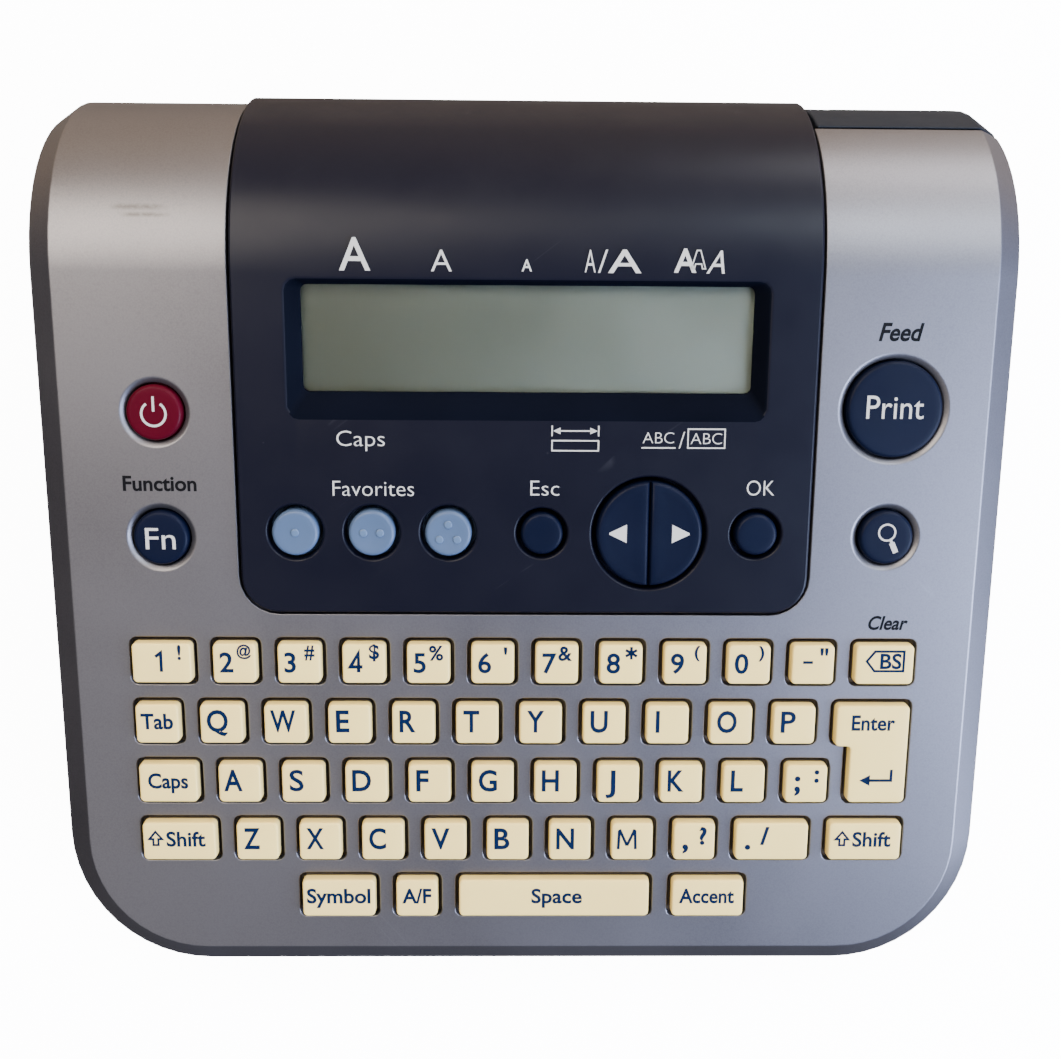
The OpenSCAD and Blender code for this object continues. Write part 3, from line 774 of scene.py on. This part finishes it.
def upper_mark(character, x, s):
    """The small character at a number key's upper right; x is its right end."""
    if character == "*":
        return crossed_strokes(x - 0.85, s + 1.7, (90, 30, -30), 1.2, 0.5)
    if character in "'\"":
        return lettering(character, x, s + 0.8, UPPER_H * 1.3, TOP_INK, align=1, weight=0.08)
    if character == "@":
        return lettering(character, x + 0.5, s + 2.0, UPPER_H * 0.74, TOP_INK, 2.7, 1, weight=0.08)
    if character in "()":
        return lettering(character, x, s + 2.0, UPPER_H * 0.78, TOP_INK, align=1, weight=0.1)
    if character in "#$":
        return lettering(character, x + 0.2, s + 1.85, UPPER_H, TOP_INK, 1.9, 1, weight=0.09)
    return lettering(character, x + 0.1, s + 1.6, UPPER_H, TOP_INK, align=1, weight=0.09)


def figure_four(left, s):
    """The figure four, drawn in one line from the foot of its upright."""
    low, high = s - DIGIT_H / 2, s + DIGIT_H / 2
    path = [(left + 1.75, low), (left + 1.75, high), (left + 0.25, low + 1.05), (left + 2.5, low + 1.05)]
    return stroke(path, STEM * 1.25, TOP_INK)


def number(figure, upper):
    """Legend of a number key: a figure low on its left, and a small mark at its upper right."""
    def mark(x, s):
        left = x - HALF_KEY + NUMBER_MARGIN
        if figure == "4":
            shape = figure_four(left, s - 0.3)
        elif figure == "-":
            shape = stroke([(x - 1.9, s), (x - 0.05, s)], STEM, TOP_INK)
        else:
            shape = lettering(figure, left, s - 0.3, DIGIT_H, TOP_INK, align=-1, weight=0.1)
        return [shape, upper_mark(upper, x + HALF_KEY - NUMBER_MARGIN, s)]

    return mark


def first_number(x, s):
    """The figure one, with its flag, and the mark beside it."""
    left, low = x - 0.05, s - 0.3 - DIGIT_H / 2
    one = [(left, low), (left, low + DIGIT_H), (left - 1.0, low + DIGIT_H - 0.75)]
    return [stroke(one, STEM * 1.1, TOP_INK), upper_mark("!", x + 3.55, s)]


def punctuation(lower, upper, dx=0.0, upper_s=1.6):
    """Legend with two punctuation marks, the second one smaller and higher."""
    def mark(x, s):
        left = x - HALF_KEY
        return [lettering(lower, left + 1.75 + dx, s + 0.2, 4.3, TOP_INK, align=-1, weight=0.16),
                lettering(upper, left + 6.35 + dx, s + upper_s, 3.3, TOP_INK, align=1, weight=0.16)]

    return mark


def word(text, width, dx=0.0):
    """Legend of one word, of a given width."""
    return lambda x, s: [lettering(text, x + dx, s, WORD_H, TOP_INK, width, weight=0.11)]


def shift_mark(x, s):
    """Outlined up arrow and the word Shift."""
    ax, w = x - 4.4, 0.8
    arrow = [(ax - w * 0.6, s - 1.2), (ax + w * 0.6, s - 1.2), (ax + w * 0.6, s), (ax + w * 1.5, s),
             (ax, s + 1.5), (ax - w * 1.5, s), (ax - w * 0.6, s)]
    return [stroke(arrow, 0.42, TOP_INK, closed=True),
            lettering("Shift", x + 1.3, s, WORD_H, TOP_INK, 7.4, weight=0.1)]


def backspace_mark(x, s):
    """BS inside a box with a pointed left end."""
    s += 0.25
    box = [(x - 3.4, s), (x - 1.9, s - 1.9), (x + 3.5, s - 1.9), (x + 3.5, s + 1.9), (x - 1.9, s + 1.9)]
    return [stroke(box, 0.46, TOP_INK, closed=True),
            lettering("BS", x + 1.1, s, 2.8, TOP_INK, 4.0, weight=0.1)]


def enter_mark(x, s):
    """The word Enter, with the return arrow lower down."""
    low = s - 10.7
    path = [(x + 3.8, low + 2.2), (x + 3.8, low), (x - 0.8, low)]
    head = [(x - 2.2, low), (x - 0.2, low - 1.1), (x - 0.2, low + 1.1)]
    return [lettering("Enter", x - 0.2, s + 0.8, WORD_H, TOP_INK, 8.2, weight=0.1),
            stroke(path, 0.55, TOP_INK),
            flat(head, TOP_INK)]


def make_enter_key(looks):
    """The L-shaped enter key, whose upper part is wider than its lower one."""
    local = [TO_DECK @ v.co for v in NODES["enter_key"].data.vertices]
    tops = [p for p in local if p.z > KEY_TOP_ABOVE]
    x0, x1, s0, s1 = limits(tops)
    step_x = min(p.x for p in tops if p.y < (s0 + s1) / 2 - 3)
    step_s = min(p.y for p in tops if p.x < x0 + 0.2) - 1.1
    corners = [(step_x, s0), (x1, s0), (x1, s1), (x0, s1), (x0, step_s), (step_x, step_s)]
    outline = rectilinear(corners, [KEY_CORNER] * 5 + [KEY_STEP_CORNER])
    make_caps("enter_key_cap", "enter_key", [key_shape(outline)], looks)
    legend = enter_mark((x0 + x1) / 2 + 0.3, s1 - 4.2)
    print_on("enter_key_legend", legend, "enter_key", looks["key_ink"])


def make_keyboard(looks):
    """All the keys of the keyboard, a CAD node at a time."""
    lowest = [letter(c) for c in "ZXCVBN"] + [letter_m]
    lowest += [punctuation(",", "?", upper_s=0.7), punctuation(".", "/", -2.9, 0.7)]
    legends = {
        "number_keys": [first_number] + [number(d, u) for d, u in zip("234567890-", "@#$%'&*()\"")],
        "top_letter_keys": [letter(c) for c in "QWERTYUIOP"],
        "home_letter_keys": [letter(c) for c in "ASDFGHJKL"] + [punctuation(";", ":")],
        "bottom_letter_keys": lowest,
        "backspace_key": [backspace_mark],
        "tab_key": [word("Tab", 6.0)],
        "caps_key": [word("Caps", 7.5)],
        "left_shift_key": [shift_mark],
        "right_shift_key": [shift_mark],
        "symbol_key": [word("Symbol", 12.2)],
        "format_key": [word("A/F", 5.6)],
        "space_key": [word("Space", 9.8, 0.5)],
        "accent_key": [word("Accent", 10.7, -0.2)],
    }
    for node, marks in legends.items():
        make_keys(node, marks, looks)
    make_enter_key(looks)


# ---------------------------------------------------------------- round buttons

FLANGE_H = 0.9
BUTTON_EDGE = 0.7
ROCKER_GAP = 0.32
# Height of a button's flange, and how far it stands out, on the housing and on the panel
HOUSING_FLANGE = (-3.2, 1.2)
PANEL_FLANGE = (-4.7, 1.5)


def button_place(node):
    """Centre (x, s), radius of the top, lowest and highest h of a round button's CAD node."""
    local = [TO_DECK @ v.co for v in NODES[node].data.vertices]
    top = max(p.z for p in local)
    x0, x1, s0, s1 = limits([p for p in local if p.z > top - 0.01])
    return (x0 + x1) / 2, (s0 + s1) / 2, (x1 - x0) / 2, min(p.z for p in local), top


def button_profile(bottom, top, flange_at, lip, dish):
    """Round button from its stem and flange up to a rounded edge and a slightly hollow top."""
    profile = [(0.05, bottom), (0.05, flange_at), (-lip, flange_at), (-lip, flange_at + FLANGE_H),
               (0.0, flange_at + FLANGE_H)]
    if bottom >= flange_at:
        profile = profile[2:]
    profile += rounded_edge(top, BUTTON_EDGE, 6)
    profile += [(BUTTON_EDGE + 0.8, top - dish * 0.5), (BUTTON_EDGE + 1.8, top - dish)]
    return profile


def make_button(node, look, flange, dish=0.0):
    """One round button; returns its centre and top for the marks on it."""
    x, s, r, bottom, top = button_place(node)
    profile = button_profile(bottom, top, *flange, dish)
    mesh = mesh_from(node + "_cap", [raised(circle_outline(x, s, r), profile)])
    smooth(mesh)
    piece = link_mesh(node + "_cap", mesh, BODY_OF[node], [look])
    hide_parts(node)
    return x, s, top - dish


def triangle(x, y, size, side):
    """Solid arrowhead pointing to one side."""
    back, rise = x - side * size * 0.75, size * 0.85
    points = [(x + side * size, y), (back, y + rise), (back, y - rise)]
    return points if side < 0 else points[::-1]


# Raised dots on each favourite button, from its centre
FAVOURITE_DOTS = {
    1: [(0, 0)],
    2: [(-1.5, 0), (1.5, 0)],
    3: [(0, 1.6), (-1.6, -1.15), (1.6, -1.15)],
}
DOT_RADIUS = 0.75


def make_buttons(looks):
    """The ten round buttons and what is printed on them."""
    x, s, top = make_button("power_button", looks["red"], HOUSING_FLANGE)
    ink = top + LEGEND_LIFT
    ring = stroke(arc_path(x, s - 0.2, 2.15, 125, 415), 0.42, ink)
    bar = stroke([(x, s + 0.2), (x, s + 2.9)], 0.42, ink)
    print_on("power_mark", [ring, bar], "power_button", looks["cream_ink"])
    x, s, top = make_button("function_button", looks["navy_soft"], HOUSING_FLANGE)
    print_on("function_mark", [lettering("Fn", x, s - 0.1, 3.9, top + LEGEND_LIFT, 5.4, weight=0.0)],
             "function_button", looks["cream_ink"])
    x, s, top = make_button("print_button", looks["navy_soft"], HOUSING_FLANGE)
    print_on("print_mark", [lettering("Print", x, s + 0.45, 4.1, top + LEGEND_LIFT, 10.3, weight=0.0)],
             "print_button", looks["cream_ink"])
    x, s, top = make_button("magnifier_button", looks["navy_soft"], HOUSING_FLANGE)
    ink = top + LEGEND_LIFT
    lens = stroke(arc_path(x + 0.05, s + 1.0, 1.5, 0, 360 * 27 / 28, 27), 0.34, ink, closed=True)
    neck = stroke([(x + 0.75, s - 0.35), (x + 1.05, s - 0.95)], 0.5, ink)
    handle = stroke([(x + 1.0, s - 0.9), (x + 1.85, s - 2.75)], 1.0, ink)
    print_on("magnifier_mark", [lens, neck, handle], "magnifier_button", looks["cream_ink"])
    for count, spots in FAVOURITE_DOTS.items():
        node = "favourite_button_%d" % count
        x, s, top = make_button(node, looks["blue"], PANEL_FLANGE, dish=0.12)
        profile = [(0, top - 0.02)] + rounded_edge(top + 0.22, 0.2, 4)
        bumps = [raised(circle_outline(x + dx, s + ds, DOT_RADIUS, 24), profile) for dx, ds in spots]
        mesh = mesh_from(node + "_dots", bumps)
        smooth(mesh)
        link_mesh(node + "_dots", mesh, BODY_OF[node], [looks["blue_dot"]])
    for node in ("escape_button", "ok_button"):
        make_button(node, looks["navy_soft"], PANEL_FLANGE)
    make_rocker(looks)


def make_rocker(looks):
    """Two-way cursor button: a disc split down the middle, with an arrowhead on each half."""
    x, s, r, bottom, top = button_place("cursor_rocker")
    edge = [(0.0, 0.3)] + rounded_edge(top, BUTTON_EDGE, 6) + [(1.6, top - 0.05), (2.8, top - 0.1)]
    halves = [raised(half_disc_outline(x, s, r, side, ROCKER_GAP), edge) for side in (-1, 1)]
    lip = PANEL_FLANGE[1]
    flange_top = bottom + FLANGE_H
    base_profile = [(-lip, bottom), (-lip, flange_top), (0, flange_top), (0, 0.31)]
    base = raised(circle_outline(x, s, r), base_profile)
    mesh = mesh_from("cursor_rocker_disc", halves + [base])
    smooth(mesh)
    piece = link_mesh("cursor_rocker_disc", mesh, BODY_OF["cursor_rocker"],
                      [looks["navy_soft"]])
    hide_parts("cursor_rocker")
    ink = top - 0.1 + LEGEND_LIFT
    arrows = [flat(triangle(x + side * 5.6, s + 0.1, 2.0, side), ink) for side in (-1, 1)]
    print_on("cursor_marks", arrows, "cursor_rocker", looks["cream_ink"])


# ---------------------------------------------------------------- printed marks on the body

THIN = -0.04
LINE = 0.25


def hollow_letter_a(x, s, height, top):
    """A capital A drawn as an outline only."""
    half, foot, cross = height * 0.40, height * 0.17, height * 0.26
    low, high = s - height / 2, s + height / 2
    outer = [(x - half, low), (x - half + foot, low), (x - half * 0.42, low + cross),
             (x + half * 0.42, low + cross), (x + half - foot, low), (x + half, low),
             (x + foot * 0.6, high), (x - foot * 0.6, high)]
    return stroke(outer, 0.22, top, closed=True)


# Words and signs on the panel: text, x, s, a capital's height, width, weight
PANEL_WORDS = [
    ("A", -29.9, 132.1, 5.5, 5.4, 0.04),
    ("A", -14.9, 131.1, 3.7, 3.6, THIN),
    ("A", -0.1, 130.4, 2.0, 1.8, 0.03),
    ("A", 10.9, 131.2, 3.9, 1.9, THIN),
    ("/", 13.1, 131.2, 3.9, 1.7, THIN),
    ("A", 16.9, 131.2, 3.9, 5.8, 0.03),
    ("A", 27.4, 131.4, 3.9, 3.9, 0.09),
    ("Caps", -29.5, 100.1, 2.75, 8.6, THIN),
    ("ABC", 23.6, 100.5, 2.0, 5.6, THIN),
    ("/", 27.8, 100.1, 3.0, None, THIN),
    ("ABC", 32.2, 100.4, 2.0, 5.6, THIN),
    ("Favorites", -27.4, 91.1, 2.75, 14.6, THIN),
    ("Esc", 3.4, 91.3, 2.75, 5.2, THIN),
    ("OK", 42.3, 91.5, 2.75, 5.0, THIN),
]


def make_panel_print(looks):
    """Display indicators and button names on the navy panel."""
    top = PANEL_RISE + LEGEND_LIFT
    marks = [lettering(text, x, s, height, top, width, weight=weight)
             for text, x, s, height, width, weight in PANEL_WORDS]
    marks += [
        hollow_letter_a(29.7, 131.6, 3.1, top),
        lettering("A", 32.7, 131.2, 3.9, top, 3.2, slant=0.3, weight=0.0),
        stroke([(20.6, 98.7), (26.7, 98.7)], LINE, top),
        stroke([(28.9, 98.7), (35.5, 98.7), (35.5, 102.1), (28.9, 102.1)], LINE, top, closed=True),
    ]
    # Tape length sign: a tape with a two-headed arrow above it
    left, right, s = 4.6, 12.9, 100.4
    marks += [
        stroke([(left, s - 2.3), (right, s - 2.3), (right, s - 0.5), (left, s - 0.5)], LINE, top,
               closed=True),
        stroke([(left, s + 0.3), (left, s + 2.2)], LINE, top),
        stroke([(right, s + 0.3), (right, s + 2.2)], LINE, top),
        stroke([(left + 1.0, s + 1.25), (right - 1.0, s + 1.25)], LINE, top),
        flat([(left + 0.2, s + 1.25), (left + 1.5, s + 0.65), (left + 1.5, s + 1.85)], top),
        flat([(right - 0.2, s + 1.25), (right - 1.5, s + 1.85), (right - 1.5, s + 0.65)], top),
    ]
    print_on("panel_print", marks, "centre_panel", looks["cream_ink"])


def make_housing_print(looks):
    """Button names on the silver housing."""
    top = LEGEND_LIFT
    marks = [
        lettering("Function", -65.9, 91.6, 2.6, top, 13.2, weight=0.09),
        lettering("Feed", 66.3, 119.4, 3.0, top, 8.0, slant=0.25, weight=0.11),
        lettering("Clear", 67.5, 66.0, 2.5, top, 7.4, slant=0.25, weight=0.09),
    ]
    print_on("housing_print", marks, "top_housing", looks["black_ink"])


# ---------------------------------------------------------------- tape cassette

RIM_HEIGHT = 0.5
LABEL_HEIGHT = 0.12


def make_cassette_details(looks):
    """Hub rim, grip ribs and a plain paper label on the cassette's rear face, seen with the door open.

    They are drawn as seen from behind: u to the left of the object, v up, h out of the face.
    """
    low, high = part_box("tape_cassette")
    face = Matrix(((-MM, 0, 0, 0), (0, 0, MM, high[1]), (0, MM, 0, 0), (0, 0, 0, 1)))
    left, right = -high[0] / MM, -low[0] / MM
    bottom, top = low[2] / MM, high[2] / MM
    hub_u, hub_v, hub_r = -2.0, 24.0, 5.0
    rim = stroke(arc_path(hub_u, hub_v, hub_r + 0.9, 0, 350, 35), 1.0, RIM_HEIGHT, closed=True)
    edge = [(0, -0.04), (0, 0.3), (0.2, RIM_HEIGHT)]
    ribs = []
    for k in range(4):
        rib_left, rib_right = right - 3.0 - 1.8 * k, right - 2.1 - 1.8 * k
        ribs.append(raised(box_outline(rib_left, rib_right, bottom + 6, top - 6, 0.4), edge))
    mesh = mesh_from("cassette_rim_and_ribs", [rim] + ribs, face)
    smooth(mesh)
    link_mesh("cassette_rim_and_ribs", mesh, "housing", [looks["cassette"]])
    label_outline = box_outline(left + 4, -14, bottom + 5, top - 5, 1.5)(0)
    label = mesh_from("cassette_label", [flat(label_outline, LABEL_HEIGHT, 0.16)], face)
    link_mesh("cassette_label", label, "housing", [looks["label"]])
    stripe_outline = box_outline(left + 7, -17, bottom + 9, bottom + 15, 0.8)(0)
    stripe = mesh_from("cassette_label_stripe", [flat(stripe_outline, LABEL_HEIGHT + 0.03, 0.06)], face)
    link_mesh("cassette_label_stripe", stripe, "housing", [looks["key_ink"]])


# ---------------------------------------------------------------- finishes on the CAD pieces

# The display recess in the panel, with a little room around it
RECESS_HALF = 42.9
RECESS_FRONT = 103.0
RECESS_BACK = 128.2
RECESS_FLOOR = -1.3
BEVEL_ANGLE = math.radians(30)


def mark_hidden_faces(mesh):
    """Gives the second material, a near-black painted shade, to the inner sides: faces that look down,
    or at another face.
    """
    corners = [v.co for v in mesh.vertices]
    tree = BVHTree.FromPolygons(corners, [p.vertices for p in mesh.polygons])
    for face in mesh.polygons:
        start = face.center + face.normal * 0.01 * MM
        if face.normal.z < -0.2 or tree.ray_cast(start, face.normal)[0] is not None:
            face.material_index = 1


def mark_recess_faces(mesh):
    """Gives the second material to the display recess in the panel."""
    for face in mesh.polygons:
        spot = TO_DECK @ face.center
        inside = abs(spot.x) < RECESS_HALF and RECESS_FRONT < spot.y < RECESS_BACK
        if inside and RECESS_FLOOR < spot.z < PANEL_RISE - 0.02:
            face.material_index = 1


def dress(node, look, bevel, inner=None, mark=None):
    """Material, soft shading and, where wanted, slightly rounded edges on a CAD piece."""
    piece = NODES[node]
    mesh = piece.data
    mesh.materials.clear()
    mesh.materials.append(look)
    for face in mesh.polygons:
        face.material_index = 0
    if inner:
        mesh.materials.append(inner)
        mark(mesh)
    if "custom_normal" in mesh.attributes:
        mesh.attributes.remove(mesh.attributes["custom_normal"])
    mesh.shade_smooth()
    weld = piece.modifiers.new("weld", "WELD")
    weld.merge_threshold = 1e-6
    flat_faces = piece.modifiers.new("flat_faces", "DECIMATE")
    flat_faces.decimate_type = "DISSOLVE"
    flat_faces.angle_limit = math.radians(0.5)
    flat_faces.delimit = {"NORMAL", "MATERIAL"}
    if bevel:
        edges = piece.modifiers.new("edges", "BEVEL")
        edges.width = bevel * MM
        edges.segments = 2
        edges.limit_method = "ANGLE"
        edges.angle_limit = BEVEL_ANGLE
        edges.use_clamp_overlap = False
    normals = piece.modifiers.new("normals", "WEIGHTED_NORMAL")
    normals.keep_sharp = True


def make_looks():
    """Every material, by the name the rest of the script uses."""
    return {
        "silver": silver_paint(),
        "navy": navy_gloss(),
        "navy_soft": plastic("navy_soft", (0.0016, 0.0034, 0.0130), 0.42, 0.1, 5.0, 0.008, gloss=0.10),
        "recess": plastic("recess_gloss", (0.0028, 0.0035, 0.0068), 0.5, 0.1, 3.0, 0.003, gloss=0.004),
        # Painted shade: near-black for the housing's inner faces, where shade falls in the gaps
        "hidden_shade": plastic("hidden_faces_painted_shade", (0.030, 0.029, 0.033), 0.6, 0.1, 4.0, 0.02),
        "black": plastic("black_plastic", (0.02, 0.02, 0.022), 0.55, 0.1, 4.0, 0.02),
        "cream": plastic("cream_plastic", (1.0, 0.73, 0.23), 0.42, 0.02, 6.0, 0.006, gloss=0.3),
        # Painted shade: the caps' skirts and flanges are cream plastic, darkened to stand for the shade
        # in the gaps around the keys
        "skirt": plastic("key_skirt_painted_shade", (0.12, 0.095, 0.07), 0.6, 0.1, 4.0, 0.01, gloss=0.1),
        "blue": plastic("blue_plastic", (0.064, 0.099, 0.168), 0.38, 0.05, 6.0, 0.006, gloss=0.3),
        "blue_dot": plastic("blue_dot", (0.080, 0.130, 0.215), 0.35, 0.05, 6.0, 0.006),
        "red": plastic("red_plastic", (0.058, 0.0008, 0.0068), 0.38, 0.08, 6.0, 0.006, gloss=0.07),
        "label": plastic("label_paper", (0.62, 0.62, 0.58), 0.7, 0.05, 2.0, 0.01, gloss=0.2),
        "slate": plastic("slate_plastic", (0.012, 0.015, 0.021), 0.45, 0.08, 5.0, 0.01, gloss=0.09),
        "rubber": plastic("rubber", (0.015, 0.015, 0.015), 0.8, 0.2, 3.0, 0.03),
        "silicone": plastic("silicone", (0.45, 0.47, 0.5), 0.6, 0.05, 3.0, 0.01),
        "white": plastic("white_acetal", (0.8, 0.8, 0.76), 0.4, 0.04, 5.0, 0.006),
        "cassette": plastic("cassette", (0.10, 0.105, 0.125), 0.45, 0.08, 4.0, 0.015),
        "ceramic": plastic("ceramic", (0.75, 0.75, 0.7), 0.3, 0.03, 3.0, 0.004),
        "steel": metal("steel", (0.55, 0.56, 0.58)),
        "can": metal("motor_can", (0.5, 0.5, 0.52), 0.3, (1, 0.05, 1)),
        "brass": metal("brass", (0.75, 0.55, 0.24), 0.25),
        "board": circuit_board(),
        "lcd": lcd_glass(),
        "window": clear_window(),
        "cell": battery_jacket(),
        "key_ink": printed("key_ink", (0.0012, 0.0095, 0.045)),
        "cream_ink": printed("cream_ink", (0.56, 0.54, 0.48)),
        "black_ink": printed("black_ink", (0.004, 0.004, 0.005)),
    }


# CAD pieces that keep their shape, by look, each with the width of its rounded edges
DRESSED = {
    "silver": [("rear_cover", 0.3)],
    "slate": [("cutter_lever", 0.4)],
    "black": [("base_tray", 0.4), ("dc_socket", 0.2), ("cutter_guide", 0.2)],
    "rubber": [("rubber_feet", 0.4), ("platen_roller", 0.2)],
    "silicone": [("key_mat", 0.1), ("button_mat", 0.1)],
    "white": [("reduction_gear", 0), ("platen_gear", 0), ("ribbon_spindle", 0)],
    "cassette": [("tape_cassette", 0.5)],
    "ceramic": [("print_head", 0.1)],
    "steel": [("housing_screws", 0.1), ("battery_contacts", 0), ("mechanism_frame", 0.1),
              ("motor_bracket", 0.1), ("platen_shaft", 0.1), ("head_arm", 0.1), ("lever_pin", 0.1),
              ("cutter_blade", 0)],
    "can": [("feed_motor", 0.4)],
    "brass": [("motor_pinion", 0)],
    "board": [("main_board", 0), ("display_board", 0)],
    "lcd": [("lcd_module", 0)],
    "window": [("lcd_window", 0)],
    "cell": [("battery_cells", 0.3)],
}


make_camera()
make_light()
make_floor()
looks = make_looks()
for look, pieces in DRESSED.items():
    for node, bevel in pieces:
        dress(node, looks[look], bevel)
# The housing's hidden inner faces get the near-black painted shade
dress("top_housing", looks["silver"], 0.25, inner=looks["hidden_shade"], mark=mark_hidden_faces)
dress("centre_panel", looks["navy"], 0.5, inner=looks["recess"], mark=mark_recess_faces)
make_keyboard(looks)
make_buttons(looks)
make_panel_print(looks)
make_housing_print(looks)
make_cassette_details(looks)
